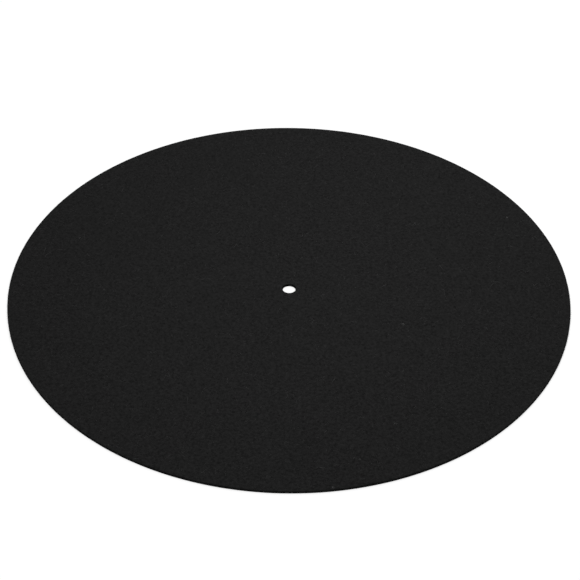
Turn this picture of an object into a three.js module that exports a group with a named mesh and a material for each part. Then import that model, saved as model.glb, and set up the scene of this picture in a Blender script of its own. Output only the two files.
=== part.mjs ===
// Platter mat for a record turntable: one flat disc of needled felt, die-cut, with a punched spindle hole.
// Millimetres, +Z up. The origin is the middle of the underside, on the axis of the hole.

import * as THREE from "three";

// Driving dimensions
const MAT_DIAMETER = 300;
const MAT_THICKNESS = 1.5;
const SPINDLE_HOLE_DIAMETER = 7.2;

// The die enters from the top face, so the felt rolls over more there than at the underside.
const TOP_EDGE_ROUNDING = 0.35;
const UNDERSIDE_EDGE_ROUNDING = 0.2;
// The share of the thickness that one rounding may take, so that some upright wall is left between the two
const MOST_ROUNDING_SHARE = 0.45;

// How finely the round stretches are divided
const STEPS_AROUND = 160;
const STEPS_TOP_ROUNDING = 3;
const STEPS_UNDERSIDE_ROUNDING = 2;

const FELT_COLOUR = 0x202020;
const FELT_ROUGHNESS = 0.95;

// A quarter round of the section, as points from one angle to the other about a centre.
function roundedCorner(centreRadius, centreHeight, rounding, fromAngle, steps) {
  const points = [];
  for (let step = 0; step <= steps; step += 1) {
    const angle = fromAngle + (step / steps) * (Math.PI / 2);
    const radius = centreRadius + rounding * Math.cos(angle);
    const height = centreHeight + rounding * Math.sin(angle);
    points.push(new THREE.Vector2(radius, height));
  }
  return points;
}

// The section from the hole to the rim, anticlockwise from the underside at the hole.
function feltSection() {
  const holeRadius = SPINDLE_HOLE_DIAMETER / 2;
  const rimRadius = MAT_DIAMETER / 2;
  const mostRounding = MOST_ROUNDING_SHARE * MAT_THICKNESS;
  const top = Math.min(TOP_EDGE_ROUNDING, mostRounding);
  const under = Math.min(UNDERSIDE_EDGE_ROUNDING, mostRounding);
  const section = [
    ...roundedCorner(holeRadius + under, under, under, Math.PI, STEPS_UNDERSIDE_ROUNDING),
    ...roundedCorner(rimRadius - under, under, under, 1.5 * Math.PI, STEPS_UNDERSIDE_ROUNDING),
    ...roundedCorner(rimRadius - top, MAT_THICKNESS - top, top, 0, STEPS_TOP_ROUNDING),
    ...roundedCorner(holeRadius + top, MAT_THICKNESS - top, top, 0.5 * Math.PI, STEPS_TOP_ROUNDING),
  ];
  section.push(section[0].clone());
  return section;
}

function makeFeltMat() {
  const geometry = new THREE.LatheGeometry(feltSection(), STEPS_AROUND);
  geometry.rotateX(Math.PI / 2);
  const material = new THREE.MeshStandardMaterial({
    color: FELT_COLOUR,
    roughness: FELT_ROUGHNESS,
    metalness: 0,
  });
  const mat = new THREE.Mesh(geometry, material);
  mat.name = "felt_mat";
  return mat;
}

const platterMat = new THREE.Group();
platterMat.name = "turntable_platter_mat";
platterMat.add(makeFeltMat());

export default platterMat;
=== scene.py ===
import math

import bpy
import numpy as np
from mathutils import Matrix, Vector, noise


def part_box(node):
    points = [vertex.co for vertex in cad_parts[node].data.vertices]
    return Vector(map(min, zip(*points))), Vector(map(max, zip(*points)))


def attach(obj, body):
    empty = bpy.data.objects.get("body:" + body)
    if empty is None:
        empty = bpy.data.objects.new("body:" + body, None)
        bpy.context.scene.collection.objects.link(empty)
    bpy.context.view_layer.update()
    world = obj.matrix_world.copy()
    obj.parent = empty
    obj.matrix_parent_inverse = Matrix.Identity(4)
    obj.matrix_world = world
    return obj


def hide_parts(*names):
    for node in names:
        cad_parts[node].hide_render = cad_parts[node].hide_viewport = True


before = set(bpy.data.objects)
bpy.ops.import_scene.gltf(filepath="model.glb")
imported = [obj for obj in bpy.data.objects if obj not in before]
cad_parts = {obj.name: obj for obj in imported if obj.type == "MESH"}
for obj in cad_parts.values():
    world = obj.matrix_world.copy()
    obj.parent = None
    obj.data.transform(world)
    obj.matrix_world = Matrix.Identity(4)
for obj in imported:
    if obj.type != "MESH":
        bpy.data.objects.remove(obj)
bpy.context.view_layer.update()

# The mat's sizes, in metres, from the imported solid
MM = 0.001
solid_low, solid_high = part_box("felt_mat")
RIM_RADIUS = (solid_high.x - solid_low.x) / 2
THICKNESS = solid_high.z - solid_low.z
HOLE_RADIUS = min(math.hypot(v.co.x, v.co.y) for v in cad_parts["felt_mat"].data.vertices)
# Outside this radius the nearest cut is the rim's, and inside it the hole's
HALF_WAY_OUT = (RIM_RADIUS + HOLE_RADIUS) / 2

# Die-cut edges: the felt rolls over more at the face that the die entered
TOP_ROUNDING = 0.35 * MM
UNDERSIDE_ROUNDING = 0.2 * MM
# The punched felt closes in a little once the punch is out
HOLE_SPRING_BACK = 0.11 * MM
# How light the cut walls are beside the faces, partly their own tone and partly painted shade: the punch
# packs the fibres of the hole's wall closest, and the hole's wall also has the hole's shade painted on
RIM_WALL_TONE_AND_SHADE = 0.62
HOLE_WALL_TONE_AND_SHADE = 0.1
# How much of the faces' relief is gone at a cut wall
RELIEF_LOST_AT_CUT = 0.7

# How closely the felt's mesh is divided
TOP_SPACING = 1.2 * MM
UNDERSIDE_SPACING = 2.1 * MM
EDGE_SPACING = 0.75 * MM
FEWEST_AROUND = 56
TOP_ROUNDING_STEPS = 4
UNDERSIDE_ROUNDING_STEPS = 2
WALL_STEPS = 3
# Each ring starts this much further round than the last, and the faces' vertices stray by this share of their
# spacing, so that the mesh shows no rings or seams
GOLDEN_TURN = 2.399963
VERTEX_STRAY = 0.24

# The felt's own map: how much wider its cut walls are drawn than they are, and half the side of its square
MAP_WALL_STRETCH = 1.5
MAP_HALF_SIDE = RIM_RADIUS + 2 * THICKNESS

# A Mix node names its sockets alike for every kind of value, so its colours are found by number
MIX_COLOUR_A, MIX_COLOUR_B, MIX_COLOUR_RESULT = 6, 7, 2


# Objects and nodes

def add_object(name, data):
    """A new object in the scene, made of this data."""
    made = bpy.data.objects.new(name, data)
    bpy.context.scene.collection.objects.link(made)
    return made


def add_node(tree, kind, **settings):
    """A new node with its attributes and its inputs' plain values set by name."""
    made = tree.nodes.new(kind)
    for name, value in settings.items():
        if name in made.inputs:
            made.inputs[name].default_value = value
        else:
            setattr(made, name, value)
    return made


def empty_material(name):
    """A new material, its node tree, and the output node that is all the tree holds."""
    material = bpy.data.materials.new(name)
    material.use_nodes = True
    tree = material.node_tree
    tree.nodes.clear()
    return material, tree, add_node(tree, "ShaderNodeOutputMaterial")


def math_node(tree, operation, first, second=None, clamp=False):
    """A Math node on sockets or plain numbers, and its result."""
    made = add_node(tree, "ShaderNodeMath", operation=operation, use_clamp=clamp)
    for socket, value in zip(made.inputs, (first, second)):
        if value is None:
            continue
        if isinstance(value, (int, float)):
            socket.default_value = value
        else:
            tree.links.new(value, socket)
    return made.outputs[0]


def spread_node(tree, value, from_low, from_high, to_low, to_high):
    """value taken from one range to another, and held inside it."""
    made = add_node(tree, "ShaderNodeMapRange")
    sizes = {"From Min": from_low, "From Max": from_high, "To Min": to_low, "To Max": to_high}
    for name, size in sizes.items():
        made.inputs[name].default_value = size
    tree.links.new(value, made.inputs["Value"])
    return made.outputs["Result"]


def grey_between(tree, share, dark, light):
    """A grey that goes from dark to light as share goes from 0 to 1."""
    mixed = add_node(tree, "ShaderNodeMix", data_type="RGBA")
    mixed.inputs[MIX_COLOUR_A].default_value = (dark, dark, dark, 1)
    mixed.inputs[MIX_COLOUR_B].default_value = (light, light, light, 1)
    tree.links.new(share, mixed.inputs["Factor"])
    return mixed.outputs[MIX_COLOUR_RESULT]


def noise_node(tree, place, scale, detail=2.0, rough=0.5, output="Fac"):
    """A Noise Texture at this place, and its result. scale is how many of its blobs fit in a unit."""
    made = add_node(tree, "ShaderNodeTexNoise", Scale=scale, Detail=detail, Roughness=rough)
    tree.links.new(place, made.inputs["Vector"])
    return made.outputs[output]


# Camera and stage

def make_camera():
    """The camera stands where the photograph's outline and hole put it: 40 degrees above the mat."""
    photograph_width = 580
    focal_pixels = 1851.1
    place = Vector((0.47, -761.21, 637.62)) * MM
    looks_down = math.radians(39.931)
    roll = math.radians(0.55)
    sensor_width = 36.0
    nearest, farthest = 0.01, 20

    ahead = Vector((0, math.cos(looks_down), -math.sin(looks_down)))
    level_right = Vector((1, 0, 0))
    level_up = level_right.cross(ahead)
    right = level_right * math.cos(roll) + level_up * math.sin(roll)
    up = level_up * math.cos(roll) - level_right * math.sin(roll)

    data = bpy.data.cameras.new("camera")
    data.sensor_width = sensor_width
    data.lens = focal_pixels / photograph_width * sensor_width
    data.clip_start = nearest
    data.clip_end = farthest
    camera = add_object("camera", data)
    turn = Matrix((right, up, -ahead)).transposed().to_4x4()
    camera.matrix_world = Matrix.Translation(place) @ turn
    bpy.context.scene.camera = camera


def seen_directly(tree):
    """1 for the rays that see the background: straight, mirrored or through glass."""
    path = add_node(tree, "ShaderNodeLightPath")
    straight = path.outputs["Is Camera Ray"]
    mirrored = path.outputs["Is Glossy Ray"]
    through_glass = path.outputs["Is Transmission Ray"]
    return math_node(tree, "ADD", math_node(tree, "ADD", straight, mirrored), through_glass, clamp=True)


def make_world():
    """An even pale room: white where it is seen, and a soft fill light elsewhere."""
    fill_strength = 0.45
    seen_strength = 1.0
    world = bpy.data.worlds.new("pale_room")
    world.use_nodes = True
    tree = world.node_tree
    tree.nodes.clear()
    out = add_node(tree, "ShaderNodeOutputWorld")
    light = add_node(tree, "ShaderNodeBackground", Color=(1, 1, 1, 1))
    strength = spread_node(tree, seen_directly(tree), 0, 1, fill_strength, seen_strength)
    tree.links.new(strength, light.inputs["Strength"])
    tree.links.new(light.outputs[0], out.inputs["Surface"])
    bpy.context.scene.world = world


def make_floor():
    """A white table top that keeps the mat's soft shadow. Its glow makes up for the softbox's fall-off."""
    half_side = 3.0
    below_mat = 0.15 * MM
    bounced_grey, seen_grey = 0.8, 0.22
    near_glow, far_glow, far_reach = 0.785, 0.925, 0.6
    bpy.ops.mesh.primitive_plane_add(size=2 * half_side, location=(0, 0, -below_mat))
    floor = bpy.context.object
    floor.name = "floor"
    bpy.ops.object.transform_apply(location=True, rotation=True, scale=True)
    material, tree, out = empty_material("white_table")
    paper = add_node(tree, "ShaderNodeBsdfDiffuse")
    glow = add_node(tree, "ShaderNodeEmission", Color=(1, 1, 1, 1))
    both = add_node(tree, "ShaderNodeAddShader")
    seen = seen_directly(tree)
    tree.links.new(spread_node(tree, seen, 0, 1, bounced_grey, seen_grey), paper.inputs["Color"])
    place = add_node(tree, "ShaderNodeTexCoord")
    away = add_node(tree, "ShaderNodeVectorMath", operation="LENGTH")
    tree.links.new(place.outputs["Object"], away.inputs[0])
    level = spread_node(tree, away.outputs["Value"], 0, far_reach, near_glow, far_glow)
    tree.links.new(math_node(tree, "MULTIPLY", level, seen), glow.inputs["Strength"])
    tree.links.new(paper.outputs[0], both.inputs[0])
    tree.links.new(glow.outputs[0], both.inputs[1])
    tree.links.new(both.outputs[0], out.inputs["Surface"])
    floor.data.materials.append(material)


def make_softbox(name, place, turn, length, width, watts):
    """A long soft light that hangs level and shines straight down, and that no view shows."""
    data = bpy.data.lights.new(name, "AREA")
    data.shape = "RECTANGLE"
    data.size = width
    data.size_y = length
    data.energy = watts
    lamp = add_object(name, data)
    lamp.location = place
    lamp.rotation_euler = (0, 0, turn)
    lamp.visible_camera = False


make_camera()
make_world()
make_floor()
make_softbox(
    "strip_softbox",
    place=(0.041, 0.058, 0.35),
    turn=math.radians(-19.5),
    length=0.5,
    width=0.12,
    watts=1.106,
)


# Meshes and their maps

def make_piece(name, places, faces, attribute, values):
    """A smooth piece made of these points and faces, with a value of its own at each point."""
    mesh = bpy.data.meshes.new(name)
    mesh.from_pydata(places, [], faces)
    mesh.attributes.new(attribute, "FLOAT", "POINT").data.foreach_set("value", values)
    mesh.shade_smooth()
    mesh.update()
    return add_object(name, mesh)


def add_map(piece, spots):
    """Lays a piece's corners out on a map of its own, where its look can be painted."""
    layer = piece.data.uv_layers.new(name="OFBake")
    layer.uv.foreach_set("vector", spots.astype(np.float32).ravel())


# The felt sheet

def felt_relief(x, y):
    """How far the felt's face stands above or below its mean height: soft clouds of needled fibre."""
    clouds = ((16 * MM, 0.030 * MM), (5.5 * MM, 0.022 * MM), (2.6 * MM, 0.012 * MM))
    layer_gap = 7.3
    height = 0.0
    for layer, (width, depth) in enumerate(clouds):
        height += depth * noise.noise(Vector((x / width, y / width, layer_gap * layer)))
    return height


def cut_wobble(angle, radius, height):
    """How far the cut strays from its circle: the die pulls at the fibres as it shears them."""
    strays = ((11 * MM, 0.030 * MM), (2.8 * MM, 0.035 * MM), (1.5 * MM, 0.030 * MM))
    layer_gap = 11.9
    x, y = radius * math.cos(angle), radius * math.sin(angle)
    stray = 0.0
    for layer, (width, depth) in enumerate(strays):
        stray += depth * noise.noise(Vector((x / width, y / width, height / MM + layer_gap * layer)))
    return stray


def corner_rings(radius, height, rounding, from_angle, steps):
    """The rings of a rounded edge as (radius, height), a quarter turn from from_angle about its centre."""
    rings = []
    for step in range(steps + 1):
        angle = from_angle + step / steps * math.pi / 2
        rings.append((radius + rounding * math.cos(angle), height + rounding * math.sin(angle)))
    return rings


def between(first, last, spacing):
    """The rings between two rings, spaced evenly and about this far apart."""
    gap = math.dist(first, last)
    steps = max(2, round(gap / spacing))
    shares = [step / steps for step in range(1, steps)]
    return [tuple(a + (b - a) * share for a, b in zip(first, last)) for share in shares]


def felt_rings():
    """Every ring of the felt's surface as (radius, height, spacing round it), once round the section."""
    top, under = TOP_ROUNDING, UNDERSIDE_ROUNDING
    hole_under = corner_rings(HOLE_RADIUS + under, under, under, math.pi, UNDERSIDE_ROUNDING_STEPS)
    rim_under = corner_rings(RIM_RADIUS - under, under, under, 1.5 * math.pi, UNDERSIDE_ROUNDING_STEPS)
    rim_top = corner_rings(RIM_RADIUS - top, THICKNESS - top, top, 0, TOP_ROUNDING_STEPS)
    hole_top = corner_rings(HOLE_RADIUS + top, THICKNESS - top, top, math.pi / 2, TOP_ROUNDING_STEPS)
    wall_spacing = (THICKNESS - top - under) / WALL_STEPS
    runs = (
        (hole_under, EDGE_SPACING),
        (between(hole_under[-1], rim_under[0], UNDERSIDE_SPACING), UNDERSIDE_SPACING),
        (rim_under, EDGE_SPACING),
        (between(rim_under[-1], rim_top[0], wall_spacing), EDGE_SPACING),
        (rim_top, EDGE_SPACING),
        (between(rim_top[-1], hole_top[0], TOP_SPACING), TOP_SPACING),
        (hole_top, EDGE_SPACING),
        (between(hole_top[-1], hole_under[0], wall_spacing), EDGE_SPACING),
    )
    return [(*ring, spacing) for rings, spacing in runs for ring in rings]


def ring_angles(number, radius, spacing):
    """The angles of a ring's vertices, evenly spaced."""
    count = max(FEWEST_AROUND, round(2 * math.pi * radius / spacing))
    start = (number * GOLDEN_TURN) % (2 * math.pi)
    return [start + 2 * math.pi * step / count for step in range(count)]


def stitch(first, first_start, second, second_start):
    """Triangles between two rings, by their angles and first vertices. Each has any number of vertices."""
    turn = 2 * math.pi
    count_a, count_b = len(first), len(second)
    shift = min(range(count_b), key=lambda i: abs((second[i] - first[0] + math.pi) % turn - math.pi))
    base = first[0] + (second[shift] - first[0] + math.pi) % turn - math.pi
    triangles = []
    a = b = 0
    while a < count_a or b < count_b:
        here_a = first_start + a % count_a
        here_b = second_start + (shift + b) % count_b
        next_a = first[0] + turn * (a + 1) / count_a
        next_b = base + turn * (b + 1) / count_b
        if b == count_b or (a < count_a and next_a <= next_b):
            triangles.append((here_a, first_start + (a + 1) % count_a, here_b))
            a += 1
        else:
            triangles.append((here_a, second_start + (shift + b + 1) % count_b, here_b))
            b += 1
    return triangles


def cut_share(radius, height):
    """1 on the cut wall of the rim or the hole, 0 on the two faces, and between on the rounded edges."""
    from_wall = min(RIM_RADIUS - radius, radius - HOLE_RADIUS)
    rounding = TOP_ROUNDING if height > THICKNESS / 2 else UNDERSIDE_ROUNDING
    return min(1, max(0, 1 - from_wall / rounding))


def felt_vertex(angle, radius, height, cut):
    """A point of the felt's surface, with its relief on the faces and its stray on the cut walls."""
    if radius > HALF_WAY_OUT:
        radius += cut * cut_wobble(angle, radius, height)
    else:
        radius -= cut * (HOLE_SPRING_BACK + cut_wobble(angle, radius, height))
    x, y = radius * math.cos(angle), radius * math.sin(angle)
    relief = felt_relief(x, y) * (1 - RELIEF_LOST_AT_CUT * cut)
    if height > THICKNESS / 2:
        height += relief
    else:
        # The mat lies on its underside, so relief there only hollows it
        height += abs(relief)
    return x, y, height


def lay_out_felt(sheet, places, drops):
    """Maps the felt: its two faces share one disc, and its cut walls are rolled out beside it.

    places has the point of each triangle's each corner, and drops how far down a cut wall that corner is.
    """
    flat = places[..., :2]
    away = np.linalg.norm(flat, axis=-1)
    outward = np.where(away > HALF_WAY_OUT, 1, -1)
    rolled = flat * (1 + outward * MAP_WALL_STRETCH * drops / away)[..., None]
    add_map(sheet, 0.5 + rolled / (2 * MAP_HALF_SIDE))


def make_felt_sheet(name, seed):
    """The felt's whole surface as one closed mesh, with how light each point is beside the faces: the cut
    walls carry painted shade as well as their own tone.
    """
    draw = np.random.RandomState(seed)
    rings = felt_rings()
    places, shades, drops, angles, starts = [], [], [], [], []
    for number, (radius, height, spacing) in enumerate(rings):
        around = ring_angles(number, radius, spacing)
        cut = cut_share(radius, height)
        # A cut wall's darkening is partly its own tone and partly painted shade
        wall_tone_and_shade = RIM_WALL_TONE_AND_SHADE if radius > HALF_WAY_OUT else HOLE_WALL_TONE_AND_SHADE
        shade = 1 + cut * (wall_tone_and_shade - 1)
        most = 0 if spacing == EDGE_SPACING else VERTEX_STRAY * spacing
        strays = draw.uniform(-most, most, (len(around), 2))
        starts.append(len(places))
        angles.append(around)
        for angle, (across, along) in zip(around, strays):
            places.append(felt_vertex(angle + along / radius, radius + across, height, cut))
            shades.append(shade)
            drops.append(THICKNESS - height)
    triangles, above_underside = [], []
    for number in range(len(rings)):
        after = (number + 1) % len(rings)
        strip = stitch(angles[after], starts[after], angles[number], starts[number])
        middle_height = (rings[number][1] + rings[after][1]) / 2
        triangles += strip
        above_underside += [middle_height > UNDERSIDE_ROUNDING] * len(strip)
    sheet = make_piece(name, places, triangles, "shade", shades)
    corner_drops = np.array(drops)[triangles] * np.array(above_underside)[:, None]
    lay_out_felt(sheet, np.array(places)[triangles], corner_drops)
    return sheet


def felt_place(tree):
    """The place on the felt in millimetres, folded at mid height so that both faces bear one pattern."""
    middle = THICKNESS / 2 / MM
    place = add_node(tree, "ShaderNodeTexCoord")
    scaled = add_node(tree, "ShaderNodeVectorMath", operation="SCALE", Scale=1 / MM)
    parts = add_node(tree, "ShaderNodeSeparateXYZ")
    folded = add_node(tree, "ShaderNodeCombineXYZ")
    tree.links.new(place.outputs["Object"], scaled.inputs[0])
    tree.links.new(scaled.outputs[0], parts.inputs[0])
    from_middle = math_node(tree, "ABSOLUTE", math_node(tree, "SUBTRACT", parts.outputs["Z"], middle))
    tree.links.new(parts.outputs["X"], folded.inputs["X"])
    tree.links.new(parts.outputs["Y"], folded.inputs["Y"])
    tree.links.new(math_node(tree, "ADD", from_middle, middle), folded.inputs["Z"])
    return folded.outputs["Vector"]


def tangled_place(tree, place, reach, width):
    """The same place pushed about by up to half of reach, so that straight strands curl."""
    push = noise_node(tree, place, 1 / width, detail=1.0, output="Color")
    centred = add_node(tree, "ShaderNodeVectorMath", operation="SUBTRACT")
    centred.inputs[1].default_value = (0.5, 0.5, 0.5)
    scaled = add_node(tree, "ShaderNodeVectorMath", operation="SCALE", Scale=reach)
    moved = add_node(tree, "ShaderNodeVectorMath", operation="ADD")
    tree.links.new(push, centred.inputs[0])
    tree.links.new(centred.outputs[0], scaled.inputs[0])
    tree.links.new(place, moved.inputs[0])
    tree.links.new(scaled.outputs[0], moved.inputs[1])
    return moved.outputs[0]


def strand_layer(tree, place, angle, length, width, level):
    """Fibres that lie about one direction: 1 along the middle of a strand, 0 beside it."""
    fineness = 3.2
    laid = add_node(tree, "ShaderNodeMapping")
    laid.inputs["Location"].default_value = (0, 0, level)
    laid.inputs["Rotation"].default_value = (0, 0, angle)
    tree.links.new(place, laid.inputs["Vector"])
    drawn = add_node(tree, "ShaderNodeMapping")
    drawn.inputs["Scale"].default_value = (1 / length, 1 / width, 1 / width)
    tree.links.new(laid.outputs["Vector"], drawn.inputs["Vector"])
    value = noise_node(tree, drawn.outputs["Vector"], 1.0, detail=1.0)
    beside = math_node(tree, "ABSOLUTE", math_node(tree, "SUBTRACT", value, 0.5))
    return math_node(tree, "SUBTRACT", 1.0, math_node(tree, "MULTIPLY", beside, 2 * fineness), clamp=True)


def strands_across(tree, place, ways, length, width, first_turn):
    """The mean of strand layers that cross one another in evenly turned ways."""
    layer_gap = 5.0
    total = None
    for layer in range(ways):
        turn = first_turn + layer * math.pi / ways
        made = strand_layer(tree, place, turn, length, width, layer_gap * layer)
        total = made if total is None else math_node(tree, "ADD", total, made)
    return math_node(tree, "MULTIPLY", total, 1 / ways)


def felt_tone(tree, place):
    """The felt's light and dark from 0 to 1: tangled strands over a grain of clumps, over soft clouds."""
    tangled = tangled_place(tree, place, reach=1.6, width=2.2)
    # Each layer's share of the tone, with its sizes in millimetres and its scale in blobs per millimetre
    layers = (
        (0.46, strands_across(tree, tangled, ways=4, length=3.4, width=0.95, first_turn=0.35)),
        (0.06, strands_across(tree, tangled, ways=3, length=1.6, width=0.3, first_turn=1.1)),
        (0.40, noise_node(tree, place, scale=0.62, detail=0.6, rough=0.5)),
        (0.08, noise_node(tree, place, scale=1 / 22, detail=2.0)),
    )
    tone = None
    for share, layer in layers:
        part = math_node(tree, "MULTIPLY", layer, share)
        tone = part if tone is None else math_node(tree, "ADD", tone, part)
    return tone


def make_felt_material():
    """Black needled felt: a matt grain of two dark greys, darker down the cut walls by their own tone and by
    painted shade.
    """
    darkest, lightest = 0.0065, 0.0158
    darkest_below, lightest_above = 0.30, 0.70
    roughest, smoothest = 1.0, 0.88
    roughest_below, smoothest_above = 0.2, 0.8
    material, tree, out = empty_material("black_needled_felt")
    felt = add_node(tree, "ShaderNodeBsdfPrincipled")
    tone = felt_tone(tree, felt_place(tree))

    light = spread_node(tree, tone, darkest_below, lightest_above, 0, 1)
    # The cut walls' darkening, partly their own tone and partly painted shade, scales the grain's grey
    shade = add_node(tree, "ShaderNodeAttribute", attribute_name="shade")
    shaded = add_node(tree, "ShaderNodeVectorMath", operation="SCALE")
    tree.links.new(grey_between(tree, light, darkest, lightest), shaded.inputs[0])
    tree.links.new(shade.outputs["Fac"], shaded.inputs["Scale"])
    tree.links.new(shaded.outputs[0], felt.inputs["Base Color"])

    rough = spread_node(tree, tone, roughest_below, smoothest_above, roughest, smoothest)
    tree.links.new(rough, felt.inputs["Roughness"])
    bump = add_node(tree, "ShaderNodeBump", Strength=0.5, Distance=0.15 * MM)
    tree.links.new(tone, bump.inputs["Height"])
    tree.links.new(bump.outputs["Normal"], felt.inputs["Normal"])

    felt.inputs["Specular IOR Level"].default_value = 0.02
    felt.inputs["Sheen Weight"].default_value = 0.01
    felt.inputs["Sheen Roughness"].default_value = 0.6
    tree.links.new(felt.outputs[0], out.inputs["Surface"])
    return material


# Loose fibres

# Each span in these functions goes from the least to the most, in millimetres unless a comment says
# otherwise. Bends and curls are shares of a fibre's length.

FIBRE_SIDES = 3
UPWARD = np.array([0, 0, 1.0])


def unit(ways):
    """The same ways, each one unit long."""
    return ways / np.linalg.norm(ways, axis=-1, keepdims=True)


def bent_lines(starts, headings, sides, lengths, bends, curls, points):
    """The middle line of each fibre: it sets off along its heading, bends to one side and curls back."""
    along = np.linspace(0, 1, points)[None, :, None]
    bend = bends[:, None, None] * along**2
    curl = curls[:, None, None] * (along - 3 * along**2 + 2 * along**3)
    ways = along * headings[:, None] + (bend + curl) * sides[:, None]
    return starts[:, None] + lengths[:, None, None] * ways


def fibre_faces(points):
    """One fibre's faces by vertex number: a three-sided ring at each inner point, and a tip at each end."""
    rings = points - 2
    first_tip, last_tip = rings * FIBRE_SIDES, rings * FIBRE_SIDES + 1
    quads, triangles = [], []
    for side in range(FIBRE_SIDES):
        after = (side + 1) % FIBRE_SIDES
        for ring in range(rings - 1):
            here, there = ring * FIBRE_SIDES, (ring + 1) * FIBRE_SIDES
            quads.append((here + side, here + after, there + after, there + side))
        last = (rings - 1) * FIBRE_SIDES
        triangles.append((first_tip, after, side))
        triangles.append((last + side, last + after, last_tip))
    return quads, triangles


def lay_out_fibres(piece, count, quads, triangles):
    """Gives each fibre a square of its own on the piece's map, so that its tint can be painted there."""
    squares = math.ceil(math.sqrt(count))
    low, high = 0.12, 0.88
    square = [(low, low), (high, low), (high, high), (low, high)]
    corners = np.array(square * quads + square[:3] * triangles)
    column, row = np.arange(count) % squares, np.arange(count) // squares
    add_map(piece, (np.stack([column, row], axis=1)[:, None] + corners[None]) / squares)


def make_fibres(name, lines, thicknesses, tints):
    """Thin closed tubes along the lines, pointed at both ends, as one piece with a tint for each fibre."""
    taper_power = 0.5
    count, points = lines.shape[:2]
    ways = unit(np.gradient(lines, axis=1))
    first = unit(np.cross(ways, UPWARD))
    second = np.cross(ways, first)
    taper = np.sin(np.linspace(0, math.pi, points)) ** taper_power
    radii = thicknesses[:, None, None] / 2 * taper[None, :, None]
    rings = []
    for side in range(FIBRE_SIDES):
        angle = 2 * math.pi * side / FIBRE_SIDES
        rings.append(lines + radii * (first * math.cos(angle) + second * math.sin(angle)))
    body = np.stack(rings, axis=2)[:, 1:-1].reshape(count, -1, 3)
    places = np.concatenate([body, lines[:, :1], lines[:, -1:]], axis=1)
    each = places.shape[1]

    quads, triangles = fibre_faces(points)
    faces = quads + triangles
    starts = range(0, count * each, each)
    all_faces = [tuple(start + corner for corner in face) for start in starts for face in faces]
    piece = make_piece(name, places.reshape(-1, 3).tolist(), all_faces, "tint", np.repeat(tints, each))
    lay_out_fibres(piece, count, len(quads), len(triangles))
    return piece


def laid_lines(draw, centres, lengths, most_bend, most_curl, points):
    """Lines that lie level about their centres, each with its own heading, bend and curl."""
    count = len(centres)
    turns = draw.uniform(0, 2 * math.pi, count)
    level = np.zeros(count)
    headings = np.stack([np.cos(turns), np.sin(turns), level], axis=1)
    sides = np.stack([-np.sin(turns), np.cos(turns), level], axis=1)
    starts = np.column_stack([centres, level]) - headings * lengths[:, None] / 2
    bends = draw.uniform(-most_bend, most_bend, count)
    curls = draw.uniform(-most_curl, most_curl, count)
    return bent_lines(starts, headings, sides, lengths, bends, curls, points)


def scattered(draw, count, low_radius, high_radius):
    """Points spread evenly over the ring between two radii."""
    radii = np.sqrt(draw.uniform(low_radius**2, high_radius**2, count))
    spots = draw.uniform(0, 2 * math.pi, count)
    return np.stack([radii * np.cos(spots), radii * np.sin(spots)], axis=1)


def relief_along(lines):
    """The felt's relief under each point of each line."""
    return np.array([[felt_relief(x, y) for x, y in line] for line in lines[..., :2]])


def face_fibres(name, count, seed, on_top):
    """Fibres that lie over one face of the felt, each rooted in it at both ends."""
    points = 7
    rooted = 0.03 * MM
    clear_of_cuts = 0.4 * MM
    length_span, lift_span, thickness_span = (1.4, 5.6), (0.02, 0.12), (0.035, 0.065)
    most_bend, most_curl = 0.7, 2.2
    # The higher this is, the fewer of the fibres are pale
    pale_rarity = 2.5

    draw = np.random.RandomState(seed)
    centres = scattered(draw, count, HOLE_RADIUS, RIM_RADIUS)
    lengths = draw.uniform(*length_span, count) * MM
    lines = laid_lines(draw, centres, lengths, most_bend, most_curl, points)
    away = np.hypot(lines[..., 0], lines[..., 1])
    inside_rim = away.max(axis=1) < RIM_RADIUS - clear_of_cuts
    outside_hole = away.min(axis=1) > HOLE_RADIUS + clear_of_cuts
    lines = lines[inside_rim & outside_hole]
    count = len(lines)

    arch = np.sin(np.linspace(0, math.pi, points))[None]
    relief = relief_along(lines)
    if on_top:
        lift = draw.uniform(*lift_span, count) * MM
        lines[..., 2] = THICKNESS + relief + arch * lift[:, None] - rooted
    else:
        lines[..., 2] = np.abs(relief) - arch * rooted + rooted
    thicknesses = draw.uniform(*thickness_span, count) * MM
    tints = draw.uniform(0, 1, count) ** pale_rarity
    return make_fibres(name, lines, thicknesses, tints)


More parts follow.
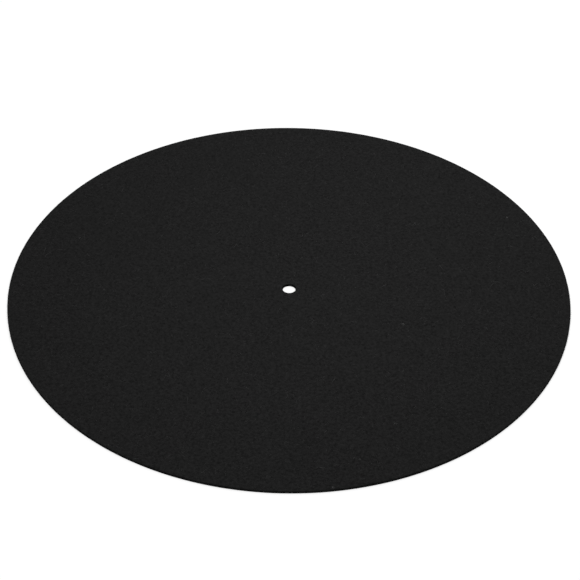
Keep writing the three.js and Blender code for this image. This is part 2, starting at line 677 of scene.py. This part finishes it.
def cut_fibres(name, rim_count, hole_count, seed):
    """Short fibre ends that stand out of the cut wall of the rim and of the spindle hole."""
    points = 5
    lowest = 0.02 * MM
    root_span, thickness_span = (0.1, 0.25), (0.03, 0.055)
    rim_length_span, hole_length_span = (0.3, 0.8), (0.25, 0.55)
    # In shares of the felt's thickness
    height_span = (0.15, 0.9)
    # How far a fibre leans round the cut and tilts up or down, beside 1 straight out of it
    most_lean, most_tilt = 1.1, 0.5
    most_bend, most_curl = 0.8, 1

    draw = np.random.RandomState(seed)
    count = rim_count + hole_count
    at_rim = np.arange(count) < rim_count
    angles = draw.uniform(0, 2 * math.pi, count)
    level = np.zeros(count)
    radial = np.stack([np.cos(angles), np.sin(angles), level], axis=1)
    around = np.stack([-np.sin(angles), np.cos(angles), level], axis=1)
    outward = np.where(at_rim, 1.0, -1.0)
    rooted = draw.uniform(*root_span, count) * MM
    radii = np.where(at_rim, RIM_RADIUS, HOLE_RADIUS) - outward * rooted
    heights = draw.uniform(*height_span, count) * THICKNESS
    lean = draw.uniform(-most_lean, most_lean, (count, 1))
    tilt = draw.uniform(-most_tilt, most_tilt, (count, 1))
    headings = unit(radial * outward[:, None] + around * lean + UPWARD * tilt)
    sides = unit(np.cross(headings, UPWARD))
    rim_lengths = draw.uniform(*rim_length_span, count)
    hole_lengths = draw.uniform(*hole_length_span, count)
    lengths = np.where(at_rim, rim_lengths, hole_lengths) * MM
    starts = radial * radii[:, None] + UPWARD * heights[:, None]
    bends = draw.uniform(-most_bend, most_bend, count)
    curls = draw.uniform(-most_curl, most_curl, count)
    lines = bent_lines(starts, headings, sides, lengths, bends, curls, points)
    lines[..., 2] = np.maximum(lines[..., 2], lowest)
    thicknesses = draw.uniform(*thickness_span, count) * MM
    tints = draw.uniform(0, 1, count)
    return make_fibres(name, lines, thicknesses, tints)


def lint_flecks(name, seed):
    """Flecks of lint that have settled on the top face: tufts of curls, and a scatter of single curls."""
    points = 7
    # Where each tuft lies and how wide it is, in millimetres, and how pale it is
    tufts = (
        (60, -28, 1.5, 0.50),
        (122, 64, 1.1, 0.38),
        (22, -147, 1.3, 0.38),
        (-116, 42, 1.5, 0.29),
        (70, 58, 1.3, 0.44),
        (53, -103, 1.5, 0.25),
        (-99, -2, 1.0, 0.22),
        (35, -128, 1.2, 0.16),
        (51, 3, 1.2, 0.15),
        (59, 97, 1.2, 0.24),
    )
    curls_each, single_curls = 9, 24
    single_length_span, lift_span, thickness_span = (0.3, 0.7), (0.02, 0.08), (0.05, 0.09)
    # In shares of a tuft's width
    most_shake, tuft_length_span = 0.3, (0.5, 1.0)
    # A tuft's curls have its own paleness times a factor, and a single curl has a paleness of its own
    factor_span, single_paleness_span = (0.8, 1.2), (0.2, 1)
    most_bend, most_curl = 1.4, 3.5

    draw = np.random.RandomState(seed)
    tuft = np.repeat(tufts, curls_each, axis=0)
    count = len(tuft) + single_curls
    widths = tuft[:, 2] * MM
    shake = draw.uniform(-most_shake, most_shake, (len(tuft), 2)) * widths[:, None]
    alone = scattered(draw, single_curls, HOLE_RADIUS + MM, RIM_RADIUS - MM)
    centres = np.concatenate([tuft[:, :2] * MM + shake, alone])
    tuft_lengths = widths * draw.uniform(*tuft_length_span, len(tuft))
    single_lengths = draw.uniform(*single_length_span, single_curls) * MM
    lengths = np.concatenate([tuft_lengths, single_lengths])
    lines = laid_lines(draw, centres, lengths, most_bend, most_curl, points)
    lift = draw.uniform(*lift_span, count)[:, None] * MM
    lines[..., 2] = THICKNESS + relief_along(lines) + lift
    thicknesses = draw.uniform(*thickness_span, count) * MM
    tuft_tints = tuft[:, 3] * draw.uniform(*factor_span, len(tuft))
    single_tints = draw.uniform(*single_paleness_span, single_curls)
    return make_fibres(name, lines, thicknesses, np.concatenate([tuft_tints, single_tints]))


def make_fibre_material(name, dark, light, sheen):
    """A fibre finish between two greys, by each fibre's tint. A pale fibre is a little smoother."""
    roughest, smoothest = 0.8, 0.6
    material, tree, out = empty_material(name)
    fibre = add_node(tree, "ShaderNodeBsdfPrincipled")
    tint = add_node(tree, "ShaderNodeAttribute", attribute_name="tint").outputs["Fac"]
    tree.links.new(grey_between(tree, tint, dark, light), fibre.inputs["Base Color"])
    tree.links.new(spread_node(tree, tint, 0, 1, roughest, smoothest), fibre.inputs["Roughness"])
    fibre.inputs["Specular IOR Level"].default_value = 0.1
    fibre.inputs["Sheen Weight"].default_value = sheen
    fibre.inputs["Sheen Roughness"].default_value = 0.5
    tree.links.new(fibre.outputs[0], out.inputs["Surface"])
    return material


# The finished mat

felt_sheet = make_felt_sheet("felt_sheet", seed=5)
top_fibres = face_fibres("top_fibres", count=6400, seed=11, on_top=True)
underside_fibres = face_fibres("underside_fibres", count=3000, seed=23, on_top=False)
edge_fibres = cut_fibres("cut_edge_fibres", rim_count=2600, hole_count=260, seed=37)
lint = lint_flecks("lint_flecks", seed=51)

black_fibre = make_fibre_material("black_fibre", dark=0.006, light=0.085, sheen=0.03)
# The cut fibres' greys are darker than the face fibres' as painted shade, to sit with the shaded cut walls
shaded_cut_fibre = make_fibre_material("shaded_cut_fibre", dark=0.003, light=0.014, sheen=0.02)
pale_lint = make_fibre_material("pale_lint", dark=0.02, light=0.20, sheen=0.05)
felt_sheet.data.materials.append(make_felt_material())
top_fibres.data.materials.append(black_fibre)
underside_fibres.data.materials.append(black_fibre)
edge_fibres.data.materials.append(shaded_cut_fibre)
lint.data.materials.append(pale_lint)

fibre_pieces = [top_fibres, underside_fibres, edge_fibres, lint]
for piece in [felt_sheet, *fibre_pieces]:
    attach(piece, "root")
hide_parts("felt_mat")

bpy.context.scene.view_settings.view_transform = "Standard"
